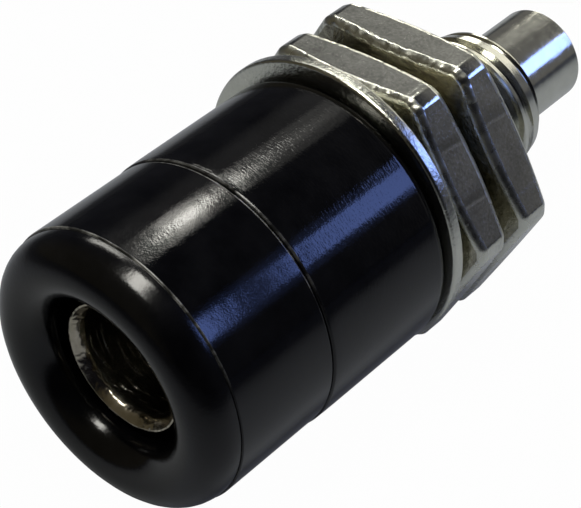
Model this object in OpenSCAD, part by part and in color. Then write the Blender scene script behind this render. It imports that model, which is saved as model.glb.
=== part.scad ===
// Insulated banana socket for a panel, with its rear insulator, washer and two nuts.
// Lengths in mm. The axis lies along Y, the plug enters from -Y and +Z is up.
// The panel's front face lies at Y = 0, against the shoulder of the head.

/* [Plug bore] */
// Diameter of the bore that takes the plug
plug_d = 4; // [3.9:0.05:4.1]
// Depth of the bore from the mouth of the sleeve, drill point not counted
plug_depth = 16.9; // [14:0.1:17]
// Chamfer at the mouth of the sleeve
mouth_chamfer = 0.25; // [0.15:0.01:0.3]

/* [Contact bush] */
// Wall of the sleeve round the plug bore
sleeve_wall = 0.35; // [0.32:0.01:0.45]
// Mouth of the sleeve, forward of the panel face
sleeve_reach = 4.3; // [4.1:0.05:4.5]
// Diameter of the flange that the head is moulded round
flange_d = 7.2; // [7:0.1:7.6]
// Thickness of the flange
flange_t = 1.3; // [1:0.1:1.5]
// Rear face of the flange, forward of the panel face
flange_reach = 1; // [0.8:0.1:1.2]
// Outside diameter of the thread
thread_d = 5.8; // [5.7:0.05:6]
// End of the thread, behind the panel face
thread_reach = 14.3; // [14.2:0.1:16]
// Chamfer at the end of the thread
thread_chamfer = 0.35; // [0.2:0.05:0.6]
// Diameter of the solder tail
tail_d = 3.6; // [3.4:0.05:4.2]
// Length of the solder tail
tail_l = 3.54; // [3.5:0.02:6]
// Chamfer at the end of the solder tail
tail_chamfer = 0.12; // [0.05:0.01:0.3]
// Diameter of the solder cup in the tail
cup_d = 2.3; // [1.8:0.1:2.6]
// Depth of the solder cup
cup_depth = 2.6; // [2:0.1:2.8]

/* [Front insulator] */
// Diameter of the head at the panel
head_d = 10; // [9.8:0.1:10.6]
// Loss of diameter from the panel to the nose line
head_draft = 0.04; // [0:0.01:0.2]
// Length of the head from the panel face to the tip of the nose
head_l = 5.44; // [5.3:0.02:6]
// Place of the nose line, forward of the panel face
nose_line = 4.2; // [3.8:0.05:4.2]
// Step in radius at the nose line
nose_step = 0.04; // [0.02:0.01:0.1]
// Outer rounding of the nose
nose_r = 1.1; // [0.9:0.05:1.1]
// Diameter of the hole in the nose
hole_d = 5.4; // [5.2:0.1:5.8]
// Floor of the hole, forward of the panel face
hole_floor = 3.4; // [2.8:0.1:3.8]
// Diameter of the collar that stands in the panel hole
collar_d = 7.8; // [7.5:0.1:8]
// Length of the collar
collar_l = 3.4; // [2.5:0.1:3.6]
// Chamfer at the end of the collar
collar_chamfer = 0.25; // [0.1:0.05:0.4]
// Edge break at the rear of the head
head_edge = 0.08; // [0.04:0.01:0.2]

/* [Rear insulator] */
// Diameter of the rear insulator
rear_d = 10.1; // [9.8:0.1:10.6]
// Length of the rear insulator
rear_l = 5.8; // [5:0.1:6.2]
// Room left beyond the end of the collar
recess_room = 0.2; // [0.1:0.05:0.5]
// Clearance in radius round the collar and the thread
slip_fit = 0.1; // [0.05:0.01:0.15]
// Chamfer on the front edge
rear_front_edge = 0.12; // [0.05:0.01:0.3]
// Rounding of the rear edge
rear_back_r = 0.5; // [0.1:0.05:0.7]

/* [Washer] */
// Diameter of the washer
washer_d = 10.8; // [10.4:0.1:12]
// Thickness of the washer
washer_t = 0.5; // [0.4:0.05:0.8]
// Clearance in radius between the washer and the thread
washer_fit = 0.3; // [0.25:0.05:0.4]
// Sideways play taken up by the washer
washer_play_x = -0.15; // [-0.17:0.01:0.17]
// Upward play taken up by the washer
washer_play_z = 0.18; // [-0.17:0.01:0.18]
// Rounding of the rim
washer_edge = 0.12; // [0.05:0.01:0.18]

/* [Nuts] */
// Width of a nut across its flats
nut_af = 10; // [9.5:0.1:10.5]
// Thickness of a nut
nut_t = 2.3; // [2:0.1:2.4]
// Diameter of the flat face of a nut
nut_face_d = 7.1; // [6.9:0.1:9]
// Slope of the corner chamfers, measured from the face
nut_slope = 14; // [10:1:20]
// Diameter over the blunted corners
nut_corner_d = 11.28; // [11:0.02:11.4]
// Clearance in radius between a nut and the thread
nut_fit = 0.03; // [0.02:0.01:0.08]
// Countersink at both ends of a nut's hole
nut_sink = 0.35; // [0.2:0.05:0.4]
// Turn of the clamp nut, seen from the front
clamp_turn = 3.9; // [-30:0.1:30]
// Turn of the lock nut, seen from the front
lock_turn = 3.2; // [-30:0.1:30]

/* [Hidden] */
$fn = 96;
drill_point = 118;
plug_r = plug_d / 2;
sleeve_r = plug_r + sleeve_wall;
thread_r = thread_d / 2;
tail_r = tail_d / 2;
tail_end = thread_reach + tail_l;
plug_floor = plug_depth - sleeve_reach;
plug_point = plug_r / tan(drill_point / 2);
cup_r = cup_d / 2;
cup_point = cup_r / tan(drill_point / 2);
flange_front = flange_reach + flange_t;
head_r = head_d / 2;
head_front_r = head_r - head_draft / 2;
nose_base_r = head_front_r - nose_step;
hole_r = hole_d / 2;
lip_r = nose_base_r - nose_r - hole_r;
collar_r = collar_d / 2;
recess_r = collar_r + slip_fit;
recess_l = collar_l + recess_room;
rear_r = rear_d / 2;
washer_r = washer_d / 2;
washer_place = rear_l;
clamp_place = washer_place + washer_t;
lock_place = clamp_place + nut_t;
corner_growth = nut_t / tan(nut_slope);

// Turns a piece that was drawn along Z so that its Z runs along Y
module on_axis() {
    rotate([-90, 0, 0]) children();
}

// The material that a rounding of radius r takes off a square corner at the origin
module corner_waste(r) {
    translate([-r, -r])
    difference() {
        square(2 * r);
        circle(r);
    }
}

// Outline of the bush without its holes
module bush_outline() {
    polygon([
        [0, -sleeve_reach],
        [sleeve_r, -sleeve_reach],
        [sleeve_r, -flange_front],
        [flange_d / 2, -flange_front],
        [flange_d / 2, -flange_reach],
        [thread_r, -flange_reach],
        [thread_r, thread_reach - thread_chamfer],
        [thread_r - thread_chamfer, thread_reach],
        [tail_r, thread_reach],
        [tail_r, tail_end - tail_chamfer],
        [tail_r - tail_chamfer, tail_end],
        [0, tail_end]
    ]);
}

// Plug bore with its mouth chamfer and drill point
module plug_hole() {
    polygon([
        [0, -sleeve_reach - plug_r],
        [plug_r + mouth_chamfer + plug_r, -sleeve_reach - plug_r],
        [plug_r, -sleeve_reach + mouth_chamfer],
        [plug_r, plug_floor],
        [0, plug_floor + plug_point]
    ]);
}

// Solder cup with its drill point
module cup_hole() {
    polygon([
        [0, tail_end - cup_depth - cup_point],
        [cup_r, tail_end - cup_depth],
        [cup_r, tail_end + cup_r],
        [0, tail_end + cup_r]
    ]);
}

// Turned contact: sleeve, flange, threaded shank and solder tail
module contact_bush() {
    color([0.74, 0.72, 0.68])
    on_axis()
    rotate_extrude()
    difference() {
        bush_outline();
        plug_hole();
        cup_hole();
    }
}

// Outline of the head and its collar before the roundings
module head_outline() {
    polygon([
        [hole_r, -head_l],
        [nose_base_r, -head_l],
        [nose_base_r, -nose_line],
        [head_front_r, -nose_line],
        [head_r, -head_edge],
        [head_r - head_edge, 0],
        [collar_r, 0],
        [collar_r, collar_l - collar_chamfer],
        [collar_r - collar_chamfer, collar_l],
        [thread_r, collar_l],
        [thread_r, -flange_reach],
        [flange_d / 2, -flange_reach],
        [flange_d / 2, -flange_front],
        [sleeve_r, -flange_front],
        [sleeve_r, -hole_floor],
        [hole_r, -hole_floor]
    ]);
}

// Moulded head with its rounded nose, and the collar behind it
module front_insulator() {
    color([0.05, 0.05, 0.055])
    on_axis()
    rotate_extrude()
    difference() {
        head_outline();
        translate([nose_base_r, -head_l]) mirror([0, 1]) corner_waste(nose_r);
        translate([hole_r, -head_l]) mirror([1, 0]) mirror([0, 1]) corner_waste(lip_r);
    }
}

// Outline of the rear insulator before its rounding
module rear_outline() {
    polygon([
        [recess_r, 0],
        [rear_r - rear_front_edge, 0],
        [rear_r, rear_front_edge],
        [rear_r, rear_l],
        [thread_r + slip_fit, rear_l],
        [thread_r + slip_fit, recess_l],
        [recess_r, recess_l]
    ]);
}

// Moulded ring that slides over the collar and holds the panel from behind
module rear_insulator() {
    color([0.05, 0.05, 0.055])
    on_axis()
    rotate_extrude()
    difference() {
        rear_outline();
        translate([rear_r, rear_l]) corner_waste(rear_back_r);
    }
}

// Flat washer with a softened rim
module washer() {
    color([0.72, 0.71, 0.68])
    on_axis()
    translate([washer_play_x, -washer_play_z, washer_place])
    rotate_extrude()
    difference() {
        translate([thread_r + washer_fit, 0]) square([washer_r - thread_r - washer_fit, washer_t]);
        translate([washer_r, washer_t]) corner_waste(washer_edge);
        translate([washer_r, 0]) mirror([0, 1]) corner_waste(washer_edge);
    }
}

// Hexagon nut with cone-cut corners at both faces, blunted corner edges and a countersunk hole
module hex_nut(turn) {
    rotate([0, 0, -turn])
    difference() {
        intersection() {
            cylinder(r = nut_af / 2 / cos(30), h = nut_t, $fn = 6);
            cylinder(d = nut_corner_d, h = nut_t);
            cylinder(r1 = nut_face_d / 2, r2 = nut_face_d / 2 + corner_growth, h = nut_t);
            cylinder(r1 = nut_face_d / 2 + corner_growth, r2 = nut_face_d / 2, h = nut_t);
        }
        nut_hole();
    }
}

// Hole of a nut with its two countersinks
module nut_hole() {
    hole = thread_r + nut_fit;
    rotate_extrude()
    polygon([
        [0, -nut_t],
        [hole + nut_sink + nut_t, -nut_t],
        [hole, nut_sink],
        [hole, nut_t - nut_sink],
        [hole + nut_sink + nut_t, 2 * nut_t],
        [0, 2 * nut_t]
    ]);
}

// Nut that presses on the washer
module clamp_nut() {
    color([0.66, 0.65, 0.63])
    on_axis()
    translate([0, 0, clamp_place])
    hex_nut(clamp_turn);
}

// Nut that locks the clamp nut
module lock_nut() {
    color([0.66, 0.65, 0.63])
    on_axis()
    translate([0, 0, lock_place])
    hex_nut(lock_turn);
}

contact_bush();
front_insulator();
rear_insulator();
washer();
clamp_nut();
lock_nut();
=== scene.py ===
from math import atan2, cos, degrees, pi, radians, sin, tan

import bpy
from mathutils import Matrix, Vector


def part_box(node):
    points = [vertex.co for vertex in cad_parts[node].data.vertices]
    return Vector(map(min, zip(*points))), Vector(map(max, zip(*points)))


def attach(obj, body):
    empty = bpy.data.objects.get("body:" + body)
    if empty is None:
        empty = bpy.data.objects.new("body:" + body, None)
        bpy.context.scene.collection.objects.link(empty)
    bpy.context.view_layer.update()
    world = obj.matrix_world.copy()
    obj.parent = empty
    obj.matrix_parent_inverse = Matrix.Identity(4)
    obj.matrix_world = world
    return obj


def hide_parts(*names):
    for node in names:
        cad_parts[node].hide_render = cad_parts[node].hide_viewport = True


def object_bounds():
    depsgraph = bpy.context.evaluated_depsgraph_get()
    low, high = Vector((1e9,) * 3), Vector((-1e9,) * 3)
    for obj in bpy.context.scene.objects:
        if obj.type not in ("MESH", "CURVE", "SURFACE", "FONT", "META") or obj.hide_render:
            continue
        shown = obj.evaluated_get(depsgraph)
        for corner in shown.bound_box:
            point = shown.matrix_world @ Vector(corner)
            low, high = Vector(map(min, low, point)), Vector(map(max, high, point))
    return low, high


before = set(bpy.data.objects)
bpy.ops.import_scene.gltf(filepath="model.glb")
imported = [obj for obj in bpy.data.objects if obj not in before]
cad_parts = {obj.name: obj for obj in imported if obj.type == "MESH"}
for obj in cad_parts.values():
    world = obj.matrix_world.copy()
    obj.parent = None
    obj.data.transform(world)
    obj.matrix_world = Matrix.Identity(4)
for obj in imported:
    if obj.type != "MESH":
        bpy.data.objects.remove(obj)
cadBox = [list(corner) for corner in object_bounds()]
print("frame loaded")

mm = 0.001
pinhole = 0.01 * mm       # radius at which a turned piece closes on its axis
mergeReach = 1e-7         # corners closer than this are one
arcStep = 9               # degrees in one facet of a rounding
noiseRange = (0.3, 0.7)   # where most of a noise lies

# places along the axis, read from the solids
bushLow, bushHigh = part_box("contact_bush")
headLow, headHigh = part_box("front_insulator")
rearLow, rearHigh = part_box("rear_insulator")
washerLow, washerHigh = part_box("washer")
clampLow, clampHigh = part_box("clamp_nut")
lockLow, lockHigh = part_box("lock_nut")


# helpers for turned work

def pickNone():
    if bpy.context.object and bpy.context.object.mode != "OBJECT":
        bpy.ops.object.mode_set(mode="OBJECT")
    bpy.ops.object.select_all(action="DESELECT")


def pickOnly(piece):
    pickNone()
    piece.select_set(True)
    bpy.context.view_layer.objects.active = piece


def pickEdges(piece, sharp, wanted):
    # sharp edges whose two ends pass the test, left in edit mode
    pickOnly(piece)
    bpy.ops.object.mode_set(mode="EDIT")
    bpy.ops.mesh.select_mode(type="EDGE")
    bpy.ops.mesh.select_all(action="DESELECT")
    bpy.ops.mesh.edges_select_sharp(sharpness=radians(sharp))
    bpy.ops.object.mode_set(mode="OBJECT")
    spots = [v.co for v in piece.data.vertices]
    for edge in piece.data.edges:
        edge.select = edge.select and wanted(*(spots[i] for i in edge.vertices))
    bpy.ops.object.mode_set(mode="EDIT")


def softCorners(path):
    # each stop is (radius, place, rounding); a rounding becomes a short arc
    stops = []
    for i, (r, y, soft) in enumerate(path):
        here = Vector((r, y))
        if soft == 0 or i in (0, len(path) - 1):
            stops.append(here)
            continue
        back = (Vector(path[i - 1][:2]) - here).normalized()
        ahead = (Vector(path[i + 1][:2]) - here).normalized()
        half = back.angle(ahead) / 2
        reach = soft / tan(half)
        centre = here + (back + ahead).normalized() * (soft / sin(half))
        start = here + back * reach - centre
        end = here + ahead * reach - centre
        sweep = start.angle_signed(end)
        steps = max(3, int(abs(sweep) / radians(arcStep)))
        for k in range(steps + 1):
            turn = -sweep * k / steps
            stops.append(centre + Vector((
                start.x * cos(turn) - start.y * sin(turn),
                start.x * sin(turn) + start.y * cos(turn))))
    return stops


def turnPiece(name, path, sides, axisPoint=(0, 0)):
    # a ring is drawn out from stop to stop, as on a lathe
    stops = softCorners(path)
    closed = (Vector(path[0][:2]) - Vector(path[-1][:2])).length < mergeReach
    x, z = axisPoint
    pickNone()
    bpy.ops.mesh.primitive_circle_add(vertices=sides, radius=stops[0].x, location=(x, stops[0].y, z),
                                      rotation=(pi / 2, 0, 0))
    piece = bpy.context.object
    piece.name = piece.data.name = name
    bpy.ops.object.transform_apply(location=True, rotation=True, scale=True)
    bpy.ops.object.mode_set(mode="EDIT")
    bpy.ops.mesh.select_all(action="SELECT")
    for last, stop in zip(stops, stops[1:]):
        bpy.ops.mesh.extrude_region_move(TRANSFORM_OT_translate={"value": (0, stop.y - last.y, 0)})
        grow = stop.x / last.x
        bpy.ops.transform.resize(value=(grow, 1, grow), center_override=(x, stop.y, z))
    bpy.ops.mesh.select_all(action="SELECT")
    bpy.ops.mesh.remove_doubles(threshold=mergeReach)
    if not closed:
        bpy.ops.mesh.select_all(action="DESELECT")
        bpy.ops.mesh.select_non_manifold()
        bpy.ops.mesh.edge_face_add()
    bpy.ops.mesh.select_all(action="SELECT")
    bpy.ops.mesh.normals_make_consistent(inside=False)
    bpy.ops.object.mode_set(mode="OBJECT")
    return piece


def keepInside(piece, tool):
    # what lies outside the tool is cut away
    pickOnly(piece)
    cut = piece.modifiers.new("cut", "BOOLEAN")
    cut.object, cut.operation, cut.solver = tool, "INTERSECT", "EXACT"
    bpy.ops.object.modifier_apply(modifier="cut")
    bpy.data.objects.remove(tool)


def joinPieces(piece, other):
    pickOnly(piece)
    other.select_set(True)
    bpy.ops.object.join()


def finishPiece(piece, node, body, finishes, crease=28):
    pickOnly(piece)
    bpy.ops.object.shade_smooth_by_angle(angle=radians(crease))
    # broad faces keep their own direction beside a small rounding
    even = piece.modifiers.new("even", "WEIGHTED_NORMAL")
    even.mode, even.weight, even.keep_sharp = "FACE_AREA", 90, True
    bpy.ops.object.modifier_apply(modifier="even")
    for finish in finishes[len(piece.data.materials):]:
        piece.data.materials.append(finish)
    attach(piece, body)
    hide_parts(node)
    print(piece.name, len(piece.data.polygons), "faces")


# helpers for finishes

def newFinish(name):
    finish = bpy.data.materials.new(name)
    finish.use_nodes = True
    tree = finish.node_tree
    shader = tree.nodes["Principled BSDF"]
    return finish, tree, shader


def addNode(tree, kind, **values):
    node = tree.nodes.new(kind)
    for key, value in values.items():
        if key in node.inputs:
            node.inputs[key].default_value = value
        else:
            setattr(node, key, value)
    return node


def pieceSpot(tree, scale=(1, 1, 1)):
    # object coordinates in millimetres
    spot = addNode(tree, "ShaderNodeTexCoord")
    size = addNode(tree, "ShaderNodeMapping")
    size.inputs["Scale"].default_value = [s / mm for s in scale]
    tree.links.new(spot.outputs["Object"], size.inputs["Vector"])
    return size.outputs["Vector"]


def spotParts(tree, spot):
    parts = addNode(tree, "ShaderNodeSeparateXYZ")
    tree.links.new(spot, parts.inputs[0])
    return parts.outputs


def grain(tree, vector, scale, detail, rough):
    noise = addNode(tree, "ShaderNodeTexNoise", Scale=scale, Detail=detail, Roughness=rough)
    tree.links.new(vector, noise.inputs["Vector"])
    return noise.outputs["Fac"]


def spread(tree, value, low, high, toLow, toHigh, smooth=False):
    span = addNode(tree, "ShaderNodeMapRange")
    span.interpolation_type = "SMOOTHSTEP" if smooth else "LINEAR"
    for key, number in (("From Min", low), ("From Max", high), ("To Min", toLow), ("To Max", toHigh)):
        span.inputs[key].default_value = number
    tree.links.new(value, span.inputs["Value"])
    return span.outputs["Result"]


def sums(tree, how, a, b):
    node = addNode(tree, "ShaderNodeMath", operation=how)
    for i, part in enumerate((a, b)):
        if isinstance(part, (int, float)):
            node.inputs[i].default_value = part
        else:
            tree.links.new(part, node.inputs[i])
    return node.outputs[0]


def tint(tree, share, under, over, how="MIX"):
    # a colour is a tuple, or comes from another node
    paint = addNode(tree, "ShaderNodeMix", data_type="RGBA", blend_type=how)
    tree.links.new(share, paint.inputs[0])
    for place, colour in ((6, under), (7, over)):
        if isinstance(colour, tuple):
            paint.inputs[place].default_value = (*colour, 1)
        else:
            tree.links.new(colour, paint.inputs[place])
    return paint.outputs[2]


def relief(tree, height, depth, under=None):
    bump = addNode(tree, "ShaderNodeBump", Strength=1.0, Distance=depth * mm)
    tree.links.new(height, bump.inputs["Height"])
    if under is not None:
        tree.links.new(under, bump.inputs["Normal"])
    return bump.outputs["Normal"]


# black moulding, sizes in millimetres

moulding = {
    "dark": (0.0007, 0.0007, 0.001), "light": (0.003, 0.003, 0.0036), "index": 1.45,
    "broadScale": 0.9, "broadRough": 0.01, "broadDepth": 0.003,
    "dotScale": 14.0, "dotRough": 0.015,
    "lineBreakScale": 1.8, "lineBreakRange": (0.42, 0.6), "lineBreakLeast": 0.12, "lineRough": 0.2,
    "highlightZone": (1.5, 4.6),   # heights between which the painted highlight lines come up, on the upper side where the light falls
    "noseEdge": None,         # places between which a duller nose ends
}


def blackMoulding(name, look):
    finish, tree, shader = newFinish(name)
    spot = pieceSpot(tree)
    parts = spotParts(tree, spot)
    along = parts["Y"]
    broad = grain(tree, spot, look["broadScale"], detail=3.0, rough=0.55)
    dots = grain(tree, spot, look["dotScale"], detail=2.0, rough=0.5)
    fine = grain(tree, pieceSpot(tree, look["grainScale"]), 1.0, detail=1.0, rough=0.5)
    streaks = grain(tree, pieceSpot(tree, look["streakScale"]), 1.0, detail=1.0, rough=0.5)

    # painted highlight lines round the piece, pale and broken, only on the upper side where the light
    # falls; the same lines are also rougher, as a real bead
    lineHighlight = sums(tree, "MULTIPLY", along, 0)
    for place, width in look["lines"]:
        off = sums(tree, "ABSOLUTE", sums(tree, "SUBTRACT", along, place), 0)
        line = spread(tree, off, width / 2, width, 1.0, 0.0, smooth=True)
        lineHighlight = sums(tree, "MAXIMUM", lineHighlight, line)
    lineBreaks = grain(tree, spot, look["lineBreakScale"], detail=3.0, rough=0.6)
    broken = spread(tree, lineBreaks, *look["lineBreakRange"], look["lineBreakLeast"], 1.0)
    upper = spread(tree, parts["Z"], *look["highlightZone"], 0.0, 1.0, smooth=True)
    lineHighlight = sums(tree, "MULTIPLY", sums(tree, "MULTIPLY", lineHighlight, broken), upper)

    base = tint(tree, spread(tree, broad, *noiseRange, 0.0, 1.0), look["dark"], look["light"])
    tree.links.new(tint(tree, lineHighlight, base, look["lineHighlight"]), shader.inputs["Base Color"])

    rough, swing, sway = look["rough"], look["dotRough"], look["broadRough"]
    gloss = sums(tree, "ADD", spread(tree, dots, *noiseRange, rough - swing, rough + swing),
                 spread(tree, broad, *noiseRange, -sway, sway))
    gloss = sums(tree, "ADD", gloss, sums(tree, "MULTIPLY", lineHighlight, look["lineRough"]))
    skin = relief(tree, fine, look["grainDepth"])
    if look["noseEdge"]:
        # the nose is duller and less even than the barrel
        nose = spread(tree, along, *look["noseEdge"], 1.0, 0.0, smooth=True)
        gloss = sums(tree, "ADD", gloss, sums(tree, "MULTIPLY", nose, look["noseRough"] - rough))
        lumps = grain(tree, spot, look["noseGrain"], detail=2.0, rough=0.5)
        skin = relief(tree, sums(tree, "MULTIPLY", lumps, nose), look["noseDepth"], skin)
    tree.links.new(gloss, shader.inputs["Roughness"])
    skin = relief(tree, streaks, look["streakDepth"], skin)
    tree.links.new(relief(tree, broad, look["broadDepth"], skin), shader.inputs["Normal"])
    shader.inputs["IOR"].default_value = look["index"]
    return finish


# nickel plate, sizes in millimetres

plate = {
    "dark": (0.58, 0.585, 0.52), "light": (0.74, 0.745, 0.67),
    "rough": 0.11, "roughSwing": 0.03,
    "cloudScale": 0.8, "cloudShare": 0.5,
    "mottleScale": 9.0, "mottleWay": (1, 1, 1), "mottleDetail": 4.0, "mottleDepth": 0.0008,
    "mottleZone": None,   # heights between which the mottle grows from its least
    "mottleLeast": 0.15,
    "shadedToolSteps": (),      # height, last place on the axis, painted shade share, painted highlight share
    "markTilt": 0.06, "markWave": 0.2, "markFade": 0.5, "markEdge": 0.05,
    "ringScale": 16.0, "ringWay": (0.0125, 1.0, 0.0125), "ringDepth": 0.0006, "radial": False,
    "scratchScale": (5.0, 0.5, 5.0), "scratchFrom": 0.66, "scratchSpan": 0.08,
    "scratchRough": 0.08, "scratchDepth": 0.001,
}


def shadedCutterSteps(tree, look, parts, cloud, tone):
    # each is a step left by the cutter, drawn as painted shade above it and a painted highlight on its
    # edge below
    edge = look["markEdge"]
    tilt = sums(tree, "MULTIPLY", parts["Y"], look["markTilt"])
    wave = sums(tree, "MULTIPLY", cloud, look["markWave"])
    height = sums(tree, "ADD", sums(tree, "ADD", parts["Z"], tilt), wave)
    for place, until, shadeShare, highlightShare in look["shadedToolSteps"]:
        above = sums(tree, "SUBTRACT", height, place)
        shade = sums(tree, "MULTIPLY", spread(tree, above, 0.0, edge, 0.0, shadeShare),
                     spread(tree, above, edge, look["markFade"], 1.0, 0.0))
        below = sums(tree, "ABSOLUTE", sums(tree, "ADD", above, edge), 0)
        change = sums(tree, "SUBTRACT", spread(tree, below, edge / 2, edge, highlightShare, 0.0), shade)
        there = sums(tree, "LESS_THAN", parts["Y"], until)
        tone = sums(tree, "ADD", tone, sums(tree, "MULTIPLY", change, there))
    return tone


def turnedRings(tree, look):
    if not look["radial"]:
        return grain(tree, pieceSpot(tree, look["ringWay"]), look["ringScale"], detail=3.0, rough=0.6)
    # on a face the rings follow the distance from the axis
    away = addNode(tree, "ShaderNodeVectorMath", operation="LENGTH")
    tree.links.new(pieceSpot(tree, (look["ringScale"], 0, look["ringScale"])), away.inputs[0])
    line = addNode(tree, "ShaderNodeCombineXYZ")
    tree.links.new(away.outputs["Value"], line.inputs["X"])
    return grain(tree, line.outputs[0], 1.0, detail=3.0, rough=0.6)


def nickelPlate(name, look):
    finish, tree, shader = newFinish(name)
    shader.inputs["Metallic"].default_value = 1.0
    spot = pieceSpot(tree)
    parts = spotParts(tree, spot)
    cloud = grain(tree, spot, look["cloudScale"], detail=4.0, rough=0.6)
    mottle = grain(tree, pieceSpot(tree, look["mottleWay"]), look["mottleScale"],
                   detail=look["mottleDetail"], rough=0.65)
    scratch = grain(tree, pieceSpot(tree, look["scratchScale"]), 1.0, detail=1.0, rough=0.4)
    begin = look["scratchFrom"]
    mark = spread(tree, scratch, begin, begin + look["scratchSpan"], 0.0, 1.0)

    share = look["cloudShare"]
    tone = sums(tree, "ADD", spread(tree, cloud, *noiseRange, 0.0, share),
                spread(tree, mottle, *noiseRange, 0.0, 1 - share))
    if look["shadedToolSteps"]:
        tone = shadedCutterSteps(tree, look, parts, cloud, tone)
    tree.links.new(tint(tree, tone, look["dark"], look["light"]), shader.inputs["Base Color"])

    rough, swing = look["rough"], look["roughSwing"]
    gloss = sums(tree, "ADD", spread(tree, mottle, *noiseRange, rough - swing, rough + swing),
                 sums(tree, "MULTIPLY", mark, look["scratchRough"]))
    tree.links.new(gloss, shader.inputs["Roughness"])

    skin = relief(tree, turnedRings(tree, look), look["ringDepth"])
    if look["mottleZone"]:
        # only the upper part is knocked about
        knocked = spread(tree, parts["Z"], *look["mottleZone"], look["mottleLeast"], 1.0, smooth=True)
        mottle = sums(tree, "MULTIPLY", mottle, knocked)
    skin = relief(tree, mottle, look["mottleDepth"], skin)
    tree.links.new(relief(tree, mark, look["scratchDepth"], skin), shader.inputs["Normal"])
    return finish


# front insulator: barrel with a rounded nose, and the collar behind it

head = {
    "sides": 160,
    "nose": 1.1 * mm,        # outer rounding
    "holeRadius": 2.7 * mm,
    "holeFloor": -3.4 * mm,
    "noseLine": -4.2 * mm,
    "noseStep": 0.06 * mm,
    "stepRound": 0.045 * mm,
    "shankHole": 2.9 * mm,
    "collar": 3.9 * mm,
    "collarRound": 0.2 * mm,
    "edge": 0.1 * mm,
    "look": dict(moulding, rough=0.06,
                 noseEdge=(-4.24, -4.18), noseRough=0.155, noseGrain=9.0, noseDepth=0.0034,
                 # the lines are rough beads round the piece, with a pale painted highlight colour on
                 # their upper side
                 lines=((-4.18, 0.045), (-0.05, 0.05)), lineHighlight=(0.2, 0.2, 0.19),
                 grainScale=(38.0, 15.0, 38.0), grainDepth=0.00112,
                 streakScale=(6.0, 2.0, 6.0), streakDepth=0.001),
}


def buildHead():
    front, back = headLow.y, headHigh.y
    barrel = headHigh.x
    nosed = barrel - head["noseStep"]
    lip = nosed - head["nose"] - head["holeRadius"]
    path = [
        (head["holeRadius"], head["holeFloor"], 0),
        (head["holeRadius"], front, lip),
        (nosed - head["nose"], front, 0),
        (nosed, front, head["nose"]),
        (nosed, head["noseLine"], 0),
        (barrel, head["noseLine"], head["stepRound"]),
        (barrel, 0, head["edge"]),
        (head["collar"], 0, 0),
        (head["collar"], back, head["collarRound"]),
        (head["shankHole"], back, 0),
        (head["shankHole"], head["holeFloor"], 0),
        (head["holeRadius"], head["holeFloor"], 0),
    ]
    piece = turnPiece("frontInsulator", path, head["sides"])
    finishPiece(piece, "front_insulator", "socket", [blackMoulding("headMoulding", head["look"])])


buildHead()


# rear insulator: ring behind the panel

rear = {
    "sides": 160,
    "recess": 4.0 * mm,
    "recessEnd": 3.6 * mm,
    "hole": 3.0 * mm,
    "holeRound": 0.1 * mm,
    "frontEdge": 0.1 * mm,
    "lead": ((0.009 * mm, 0), (0.003 * mm, 0.4 * mm), (0, 0.9 * mm)),   # the front end falls off
    "backRound": 0.5 * mm,
    # the line is a rough bead round the front edge, with a faint painted highlight colour on its upper
    # side
    "look": dict(moulding, rough=0.068, lines=((0.06, 0.05),), lineHighlight=(0.07, 0.07, 0.068),
                 grainScale=(26.0, 26.0, 26.0), grainDepth=0.00095,
                 streakScale=(5.0, 16.0, 5.0), streakDepth=0.0026),
}


def buildRear():
    front, back, outer = rearLow.y, rearHigh.y, rearHigh.x
    path = [
        (rear["recess"], front, 0),
        (outer - rear["lead"][0][0], front, rear["frontEdge"]),
        *[(outer - fall, front + place, 0) for fall, place in rear["lead"][1:]],
        (outer, back, rear["backRound"]),
        (rear["hole"], back, rear["holeRound"]),
        (rear["hole"], rear["recessEnd"], 0),
        (rear["recess"], rear["recessEnd"], 0),
        (rear["recess"], front, 0),
    ]
    piece = turnPiece("rearInsulator", path, rear["sides"])
    finishPiece(piece, "rear_insulator", "clamp_stack", [blackMoulding("rearMoulding", rear["look"])])


buildRear()


# washer, stamped and off centre by its play

washer = {
    "sides": 160,
    "hole": 3.2 * mm,
    "holeRound": 0.04 * mm,
    "rimRound": 0.12 * mm,
    "look": dict(plate, rough=0.16, roughSwing=0.05, mottleScale=7.0, mottleDepth=0.02, ringDepth=0.0004,
                 scratchScale=(0.5, 6.0, 6.0), scratchDepth=0.002),
}


def buildWasher():
    front, back = washerLow.y, washerHigh.y
    middle = (washerLow + washerHigh) / 2
    outer = (washerHigh.x - washerLow.x) / 2
    path = [
        (washer["hole"], front, 0),
        (outer, front, washer["rimRound"]),
        (outer, back, washer["rimRound"]),
        (washer["hole"], back, washer["holeRound"]),
        (washer["hole"], front, 0),
    ]
    piece = turnPiece("flatWasher", path, washer["sides"], (middle.x, middle.z))
    finishPiece(piece, "washer", "clamp_stack", [nickelPlate("washerPlate", washer["look"])])


buildWasher()


# hexagon nuts: bar stock, turned to cones at both faces

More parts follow.
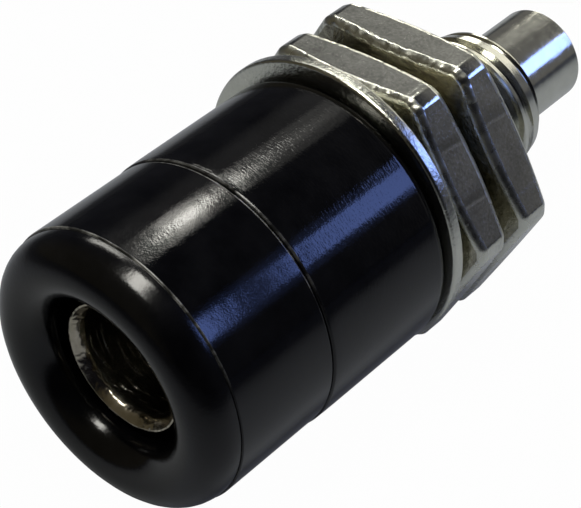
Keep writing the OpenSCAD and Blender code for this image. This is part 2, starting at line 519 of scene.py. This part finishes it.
nut = {
    "sides": 192,
    "acrossFlats": 10 * mm,
    "faceRadius": 3.55 * mm,
    "slope": 14,
    "cornerRadius": 5.64 * mm,
    "hole": 2.93 * mm,
    "sink": 0.35 * mm,
    "rim": 0.24 * mm,
    "cornerEdge": 0.1 * mm,
    "holeEdge": 0.05 * mm,
    "blankSpare": 0.4 * mm,   # the turned blank stands out past the corners by this
    "sliver": 0.03 * mm,      # shorter edges than this are merged after the cut
    "barSharp": 25,           # edges of the bar and of the nut that get a rounding
    "rimSharp": 40,
    "clampTurn": 3.9,
    "lockTurn": 3.2,
    "flatLook": dict(plate, dark=(0.41, 0.415, 0.375), light=(0.85, 0.855, 0.79),
                     rough=0.14, roughSwing=0.05, mottleScale=11.0, mottleDepth=0.0012,
                     ringScale=2.0, ringWay=(1.0, 0.06, 1.0), ringDepth=0.011,
                     scratchScale=(3.2, 0.25, 3.2), scratchFrom=0.68, scratchDepth=0.0006,
                     # cutter steps on the flats, with painted shade above and a painted highlight on the
                     # edge below
                     shadedToolSteps=((4.15, 12.0, 0.45, 0.3), (2.5, 8.6, 0.5, 0.5))),
    "edgeLook": dict(plate, rough=0.10, roughSwing=0.04, mottleScale=4.0, mottleDepth=0.012,
                     ringDepth=0.0004),
    "wornLook": dict(plate, rough=0.27, roughSwing=0.06, mottleScale=2.2,
                     mottleWay=(0.8, 0.7, 0.8), mottleDetail=1.4, mottleDepth=0.13,
                     mottleZone=(3.4, 4.6), ringDepth=0.0004),
    "coneLook": dict(plate, dark=(0.22, 0.21, 0.15), light=(0.50, 0.48, 0.39),
                     rough=0.13, roughSwing=0.04, mottleScale=4.0, mottleDepth=0.036,
                     radial=True, ringScale=12.0, ringDepth=0.002),
}


def bluntBar(turn, front, back):
    # six-sided bar with its corners blunted and rounded, longer than the nut
    pickNone()
    bpy.ops.mesh.primitive_cylinder_add(vertices=6, radius=nut["acrossFlats"] / 2 / cos(pi / 6),
                                        depth=2 * (back - front), location=(0, (front + back) / 2, 0),
                                        rotation=(pi / 2, 0, 0))
    bar = bpy.context.object
    bpy.ops.object.transform_apply(location=True, rotation=True, scale=True)
    # a corner of the bar lies at the turn, counted from +X towards +Z
    corner = max((v.co for v in bar.data.vertices), key=lambda co: co.x)
    lean = Vector((corner.x, corner.z)).angle_signed(Vector((1, 0)))
    bar.data.transform(Matrix.Rotation(-radians(turn) - lean, 4, "Y"))
    # width of a blunted corner that lies at its radius
    blunt = 4 * (nut["acrossFlats"] / 2 - nut["cornerRadius"] * cos(pi / 6))
    pickEdges(bar, nut["barSharp"], lambda a, b: abs(a.y - b.y) > mm)
    bpy.ops.mesh.bevel(offset_type="WIDTH", offset=blunt, segments=1)
    pickEdges(bar, nut["barSharp"], lambda a, b: abs(a.y - b.y) > mm)
    bpy.ops.mesh.bevel(offset=nut["cornerEdge"], segments=4)
    bpy.ops.mesh.select_mode(type="VERT")
    bpy.ops.object.mode_set(mode="OBJECT")
    return bar


def buildNut(name, node, low, high, turn, finishes):
    front, back = low.y, high.y
    reach = nut["cornerRadius"] + nut["blankSpare"]
    fall = (reach - nut["faceRadius"]) * tan(radians(nut["slope"]))
    path = [
        (nut["hole"], front + nut["sink"], 0),
        (nut["hole"] + nut["sink"], front, 0),
        (nut["faceRadius"], front, 0),
        (reach, front + fall, 0),
        (reach, back - fall, 0),
        (nut["faceRadius"], back, 0),
        (nut["hole"] + nut["sink"], back, 0),
        (nut["hole"], back - nut["sink"], 0),
        (nut["hole"], front + nut["sink"], 0),
    ]
    piece = turnPiece(name, path, nut["sides"])
    keepInside(piece, bluntBar(turn, front, back))
    pickOnly(piece)
    bpy.ops.object.mode_set(mode="EDIT")
    bpy.ops.mesh.select_all(action="SELECT")
    bpy.ops.mesh.remove_doubles(threshold=nut["sliver"])
    bpy.ops.object.mode_set(mode="OBJECT")
    for finish in finishes:
        piece.data.materials.append(finish)
    # finish 0 is for flats and blunted corners, which face every 30 degrees from the turn,
    # 1 for the roundings between them, 2 for cones and faces
    for side in piece.data.polygons:
        facing = (degrees(atan2(side.normal.z, side.normal.x)) - turn) % 30
        if abs(side.normal.y) > 0.5:
            side.material_index = 2
        else:
            side.material_index = 1 if 3 < facing < 27 else 0
    # the rims of the flats are rolled over, the edges of the hole only broken
    pickEdges(piece, nut["rimSharp"], lambda a, b: a.xz.length > nut["faceRadius"] < b.xz.length)
    bpy.ops.mesh.bevel(offset=nut["rim"], segments=6, material=3, loop_slide=False)
    pickEdges(piece, nut["rimSharp"], lambda a, b: True)
    bpy.ops.mesh.bevel(offset=nut["holeEdge"], segments=2, material=2)
    bpy.ops.mesh.select_mode(type="VERT")
    bpy.ops.object.mode_set(mode="OBJECT")
    finishPiece(piece, node, node, finishes, crease=18)


nutFinishes = [nickelPlate("nutFlat", nut["flatLook"]), nickelPlate("nutEdge", nut["edgeLook"]),
               nickelPlate("nutCone", nut["coneLook"]), nickelPlate("nutWorn", nut["wornLook"])]
buildNut("clampNut", "clamp_nut", clampLow, clampHigh, nut["clampTurn"], nutFinishes)
buildNut("lockNut", "lock_nut", lockLow, lockHigh, nut["lockTurn"], nutFinishes)


# contact bush: turned core, cut thread and solder tail

bush = {
    "sides": 160,
    "bore": 2.0 * mm,
    "boreSlack": 0.001 * mm,  # what lies within it is dressed as the bore
    "boreFloor": 12.6 * mm,
    "boreEnd": 13.9 * mm,     # past the drill point
    "drillSlope": 31,
    "mouthChamfer": 0.28 * mm,
    "mouthRound": 0.6 * mm,
    "mouthDepth": 0.448 * mm,  # from the front, dressed as the mouth
    "lipRound": 0.02 * mm,
    "sleeve": 2.35 * mm,
    "flange": 3.6 * mm,
    "flangeFront": -2.3 * mm,
    "flangeBack": -1.0 * mm,
    "tail": 1.8 * mm,
    "tailEdge": 0.12 * mm,
    "tailRound": 0.05 * mm,
    "cup": 1.15 * mm,
    "cupDepth": 2.6 * mm,
    "cupRound": 0.06 * mm,
    "threadStart": 4.0 * mm,
    "threadEnd": 14.3 * mm,
    "crest": 2.9 * mm,
    "pitch": 0.75 * mm,
    "threadDepth": 0.42 * mm,
    "threadFade": 1.5 * mm,   # the last turns run out on a cone
    "endRadius": 2.55 * mm,
    "stopsPerPitch": 14,
    "threadSteps": 128,
    "crestPlace": 12.4 * mm,  # where a crest lies on the +X side
    "spareTurns": 7,          # wound past both ends and cut off again
    "turnsBefore": 2,         # of these, wound ahead of crestPlace
    "seam": 0.002 * mm,       # ends of turns this close are one
    "coreSpare": 0.04 * mm,   # the core stays under the root of the thread
    "coreShort": 0.1 * mm,    # and ends inside it
    "look": dict(plate, rough=0.14, roughSwing=0.04, mottleScale=3.0, mottleDepth=0.005,
                 ringScale=14.0, ringDepth=0.002),
    "mouthLook": dict(plate, dark=(0.24, 0.21, 0.145), light=(0.84, 0.78, 0.66),
                      rough=0.18, roughSwing=0.05, mottleScale=1.4, mottleDetail=2.5, mottleDepth=0.1,
                      ringDepth=0.001),
    "boreLook": dict(plate, dark=(0.4, 0.38, 0.33), light=(0.6, 0.57, 0.5),
                     rough=0.16, roughSwing=0.06, mottleScale=14.0, mottleDepth=0.012,
                     scratchScale=(1.2, 7.0, 1.2), scratchFrom=0.56, scratchDepth=0.012),
}


def buildThread():
    # one tooth is drawn as a wave, repeated along the axis and screwed round it
    pitch, half = bush["pitch"], bush["threadDepth"] / 2
    start, end = bush["threadStart"], bush["threadEnd"]
    count = bush["stopsPerPitch"]
    stops = [(bush["crest"] - half + half * cos(2 * pi * k / count), pitch * k / count)
             for k in range(count + 1)]
    turns = int((end - start) / pitch)
    teeth = turns + bush["spareTurns"]
    first = bush["crestPlace"] - pitch * (turns + bush["turnsBefore"])
    pickNone()
    bpy.ops.mesh.primitive_plane_add(size=pitch, location=(stops[0][0], first, 0))
    piece = bpy.context.object
    piece.name = piece.data.name = "thread"
    bpy.ops.object.transform_apply(location=True, rotation=True, scale=True)
    bpy.ops.object.mode_set(mode="EDIT")
    bpy.ops.mesh.select_all(action="SELECT")
    bpy.ops.mesh.merge(type="CENTER")
    for last, stop in zip(stops, stops[1:]):
        bpy.ops.mesh.extrude_vertices_move(
            TRANSFORM_OT_translate={"value": (stop[0] - last[0], stop[1] - last[1], 0)})
    bpy.ops.object.mode_set(mode="OBJECT")
    row = piece.modifiers.new("row", "ARRAY")
    row.count, row.use_relative_offset, row.use_constant_offset = teeth, False, True
    row.constant_offset_displace = (0, pitch, 0)
    row.use_merge_vertices, row.merge_threshold = True, bush["seam"]
    bpy.ops.object.modifier_apply(modifier="row")
    wind = piece.modifiers.new("wind", "SCREW")
    wind.axis, wind.angle, wind.screw_offset = "Y", 2 * pi, pitch
    wind.steps = wind.render_steps = bush["threadSteps"]
    wind.use_merge_vertices, wind.merge_threshold = True, bush["seam"]
    bpy.ops.object.modifier_apply(modifier="wind")
    bpy.ops.object.mode_set(mode="EDIT")
    bpy.ops.mesh.select_all(action="SELECT")
    bpy.ops.mesh.remove_doubles(threshold=bush["seam"])
    # closed at both ends, so that the next cut has a solid to work on
    for place, side in ((start - pitch, -1), (end + pitch, 1)):
        bpy.ops.mesh.select_all(action="SELECT")
        bpy.ops.mesh.bisect(plane_co=(0, place, 0), plane_no=(0, side, 0),
                            clear_outer=True, use_fill=True, threshold=mergeReach)
    bpy.ops.mesh.select_all(action="SELECT")
    bpy.ops.mesh.normals_make_consistent(inside=False)
    bpy.ops.object.mode_set(mode="OBJECT")
    # cut to length, with the last turns cut down to a cone
    fade = end - bush["threadFade"]
    blank = turnPiece("threadBlank", [
        (pinhole, start, 0),
        (bush["crest"] + pitch, start, 0),
        (bush["crest"] + pitch, fade, 0),
        (bush["crest"], fade, 0),
        (bush["endRadius"], end, 0),
        (pinhole, end, 0),
    ], bush["threadSteps"])
    keepInside(piece, blank)
    return piece


def buildBush():
    front, back = bushLow.y, bushHigh.y
    core = bush["crest"] - bush["threadDepth"] - bush["coreSpare"]
    coreEnd = bush["threadEnd"] - bush["coreShort"]
    point = tan(radians(bush["drillSlope"]))
    path = [
        (pinhole, bush["boreFloor"] + bush["bore"] * point, 0),
        (bush["bore"], bush["boreFloor"], 0),
        (bush["bore"], front + bush["mouthChamfer"], bush["mouthRound"]),
        (bush["bore"] + bush["mouthChamfer"], front, bush["lipRound"]),
        (bush["sleeve"], front, bush["lipRound"]),
        (bush["sleeve"], bush["flangeFront"], 0),
        (bush["flange"], bush["flangeFront"], 0),
        (bush["flange"], bush["flangeBack"], 0),
        (core, bush["flangeBack"], 0),
        (core, coreEnd, 0),
        (bush["tail"], coreEnd, 0),
        (bush["tail"], back - bush["tailEdge"], bush["tailRound"]),
        (bush["tail"] - bush["tailEdge"], back, bush["tailRound"]),
        (bush["cup"], back, bush["cupRound"]),
        (bush["cup"], back - bush["cupDepth"], 0),
        (pinhole, back - bush["cupDepth"] - bush["cup"] * point, 0),
    ]
    piece = turnPiece("contactBush", path, bush["sides"])
    joinPieces(piece, buildThread())
    for side in piece.data.polygons:
        bored = side.center.xz.length < bush["bore"] + bush["boreSlack"]
        if bored and side.center.y < bush["boreEnd"]:
            side.material_index = 2
        elif side.center.y < front + bush["mouthDepth"]:
            side.material_index = 1
    finishes = [nickelPlate("bushPlate", bush["look"]), nickelPlate("bushMouth", bush["mouthLook"]),
                nickelPlate("bushBore", bush["boreLook"])]
    finishPiece(piece, "contact_bush", "socket", finishes, crease=30)


buildBush()


# floor and surroundings

studio = {
    "floorDrop": 0.02 * mm,
    "floorSize": 1.6,
    # a painted pool of light on the floor: lighter near the part, darker far off
    "floorLitNear": (0.25, 0.265, 0.29),
    "floorUnlitFar": (0.035, 0.037, 0.044),
    "lightPoolMiddle": (-6 * mm, 14 * mm, 0),
    "lightPoolFrom": 14,          # mm from there, where the painted pool of light starts to fade
    "lightPoolTo": 62,
    "floorShown": 0.985,     # share of plain white that the camera sees
    "floorMirrored": 0.075,  # the same in reflections
    "floorRough": 0.9,
    "floorGloss": 0.1,
    "frontRight": (0.006, 0.006, 0.008),
    "frontLeft": (0.075, 0.066, 0.046),
    "roomBack": (0.032, 0.033, 0.040),
    "roomRight": (0.108, 0.103, 0.094),
    "roomGlow": (0.165, 0.162, 0.152),
    "glowAim": {"across": 128, "along": 0.70},
    "glowInner": 6,          # degrees off that aim, where the glow starts to fade
    "glowOuter": 21,
    "frontFade": (-0.35, 0.35),   # from the front of the room to its back
    "backFade": (0.59, 0.70),     # where the far back begins
    "leftFade": (-0.1, 0.4),      # from the left of the front to its right
}


def lampWay(lamp):
    # the direction from the part to a lamp or a glow
    side = radians(lamp["across"])
    flat = (1 - lamp["along"] ** 2) ** 0.5
    return Vector((flat * cos(side), lamp["along"], flat * sin(side)))


def buildFloor():
    pickNone()
    level = cadBox[0][2] - studio["floorDrop"]
    bpy.ops.mesh.primitive_plane_add(size=studio["floorSize"], location=(0, 0, level))
    floor = bpy.context.object
    floor.name = "floor"
    finish, tree, shader = newFinish("floorPaper")
    away = addNode(tree, "ShaderNodeVectorMath", operation="LENGTH")
    middle = pieceSpot(tree).node
    middle.inputs["Location"].default_value = [-part / mm for part in studio["lightPoolMiddle"]]
    tree.links.new(middle.outputs["Vector"], away.inputs[0])
    # a painted pool of light: the floor colour, and its share of white in reflections, fall off away
    # from the middle
    lightPool = spread(tree, away.outputs["Value"], studio["lightPoolFrom"], studio["lightPoolTo"], 0.0, 1.0,
                  smooth=True)
    paperAndLightPool = tint(tree, lightPool, studio["floorLitNear"], studio["floorUnlitFar"])
    tree.links.new(paperAndLightPool, shader.inputs["Base Color"])
    shader.inputs["Roughness"].default_value = studio["floorRough"]
    shader.inputs["Specular IOR Level"].default_value = studio["floorGloss"]
    seen = addNode(tree, "ShaderNodeLightPath")
    glow = addNode(tree, "ShaderNodeEmission", Strength=1.0)
    blend = addNode(tree, "ShaderNodeMixShader")
    mirrored = spread(tree, lightPool, 0.0, 1.0, studio["floorMirrored"], 0.0)
    straight = sums(tree, "MULTIPLY", seen.outputs["Is Camera Ray"], studio["floorShown"])
    through = sums(tree, "ADD", seen.outputs["Is Glossy Ray"], seen.outputs["Is Transmission Ray"])
    share = sums(tree, "ADD", straight, sums(tree, "MULTIPLY", through, mirrored))
    tree.links.new(share, blend.inputs["Fac"])
    tree.links.new(shader.outputs[0], blend.inputs[1])
    tree.links.new(glow.outputs[0], blend.inputs[2])
    tree.links.new(blend.outputs[0], tree.nodes["Material Output"].inputs["Surface"])
    floor.data.materials.append(finish)


def buildRoom():
    world = bpy.data.worlds.new("room")
    bpy.context.scene.world = world
    world.use_nodes = True
    tree = world.node_tree
    way = addNode(tree, "ShaderNodeTexCoord").outputs["Generated"]
    parts = spotParts(tree, way)
    frontness = spread(tree, parts["Y"], *studio["frontFade"], 1.0, 0.0, smooth=True)
    farBack = spread(tree, parts["Y"], *studio["backFade"], 0.0, 1.0, smooth=True)
    leftness = spread(tree, parts["X"], *studio["leftFade"], 1.0, 0.0, smooth=True)
    aim = addNode(tree, "ShaderNodeVectorMath", operation="DOT_PRODUCT")
    tree.links.new(way, aim.inputs[0])
    aim.inputs[1].default_value = lampWay(studio["glowAim"])
    nearGlow = spread(tree, aim.outputs["Value"], cos(radians(studio["glowOuter"])),
                      cos(radians(studio["glowInner"])), 0.0, 1.0, smooth=True)

    front = tint(tree, leftness, studio["frontRight"], studio["frontLeft"])
    walls = tint(tree, frontness, studio["roomBack"], front)
    walls = tint(tree, farBack, walls, studio["roomRight"], "ADD")
    walls = tint(tree, nearGlow, walls, studio["roomGlow"], "ADD")
    tree.links.new(walls, tree.nodes["Background"].inputs["Color"])


# lamps are placed by the way they mirror in the barrel:
# across is the angle round the axis from +X, along the share that points to +Y,
# wide and long are degrees as seen from the part

warm = (1.0, 0.985, 0.91)
amber = (1.0, 0.96, 0.84)
blue = (0.24, 0.37, 1.0)
lamps = {
    "lampTop": {"across": 93, "along": -0.02, "wide": 14.5, "long": 46, "level": 15.5, "colour": warm},
    "lampBack": {"across": 114.2, "along": 0.533, "wide": 8.5, "long": 1.3, "level": 18, "colour": warm,
                 "shape": "ELLIPSE"},
    "lampHalo": {"across": 114.2, "along": 0.533, "wide": 21, "long": 1.8, "level": 5.6, "colour": warm,
                 "shape": "ELLIPSE"},
    "lampLong": {"across": 114.2, "along": 0.56, "wide": 7, "long": 10, "level": 0.75, "colour": warm},
    "lampWide": {"across": 114.2, "along": 0.56, "wide": 20, "long": 11, "level": 0.4, "colour": warm},
    "lampLeft": {"across": 132, "along": 0.435, "wide": 28, "long": 5, "level": 9, "colour": warm},
    "lampRear": {"across": 92, "along": 0.9, "wide": 48, "long": 15, "level": 1.1, "colour": amber},
    "lampSide": {"across": 176, "along": 0.845, "wide": 36, "long": 9, "level": 4, "colour": amber},
    "windowLow": {"across": 39.6, "along": 0.492, "wide": 15.5, "long": 3.4, "level": 5.6,
                  "colour": blue},
    "windowMid": {"across": 39.3, "along": 0.598, "wide": 13.3, "long": 6.1, "level": 5, "colour": blue},
    "windowSoft": {"across": 39.5, "along": 0.56, "wide": 23, "long": 16, "level": 0.3, "colour": blue},
    "windowHigh": {"across": 41, "along": 0.725, "wide": 22, "long": 13.2, "level": 4.2, "colour": blue},
}
lampReach = 0.5
lampTarget = Vector((0, 2 * mm, 0))


def buildLamp(name, lamp):
    way = lampWay(lamp)
    side = radians(lamp["across"])
    across = Vector((-sin(side), 0, cos(side)))
    width = lampReach * radians(lamp["wide"])
    length = lampReach * radians(lamp["long"])
    data = bpy.data.lights.new(name, "AREA")
    data.shape = lamp.get("shape", "RECTANGLE")
    data.size, data.size_y = width, length
    data.color = lamp["colour"]
    data.energy = lamp["level"] * pi * width * length
    light = bpy.data.objects.new(name, data)
    bpy.context.scene.collection.objects.link(light)
    turn = Matrix((across, way.cross(across), way)).transposed()
    light.matrix_world = Matrix.Translation(lampTarget + way * lampReach) @ turn.to_4x4()


buildFloor()
buildRoom()
for name, lamp in lamps.items():
    buildLamp(name, lamp)
print("floor, room and lamps built")


# camera, set to the photograph's view

view = {
    "place": (33.58 * mm, -34.93 * mm, 44.52 * mm),
    "tilt": 48.62,
    "heading": 41.0,
    "lens": 126.47,
    "sensor": 36,
    "clip": (1 * mm, 10),
}

cameraData = bpy.data.cameras.new("camera")
cameraData.lens, cameraData.sensor_width = view["lens"], view["sensor"]
cameraData.clip_start, cameraData.clip_end = view["clip"]
camera = bpy.data.objects.new("camera", cameraData)
camera.location = view["place"]
camera.rotation_euler = (radians(view["tilt"]), 0, radians(view["heading"]))
bpy.context.scene.collection.objects.link(camera)
bpy.context.scene.camera = camera
bpy.context.scene.view_settings.view_transform = "Standard"
print("camera set")
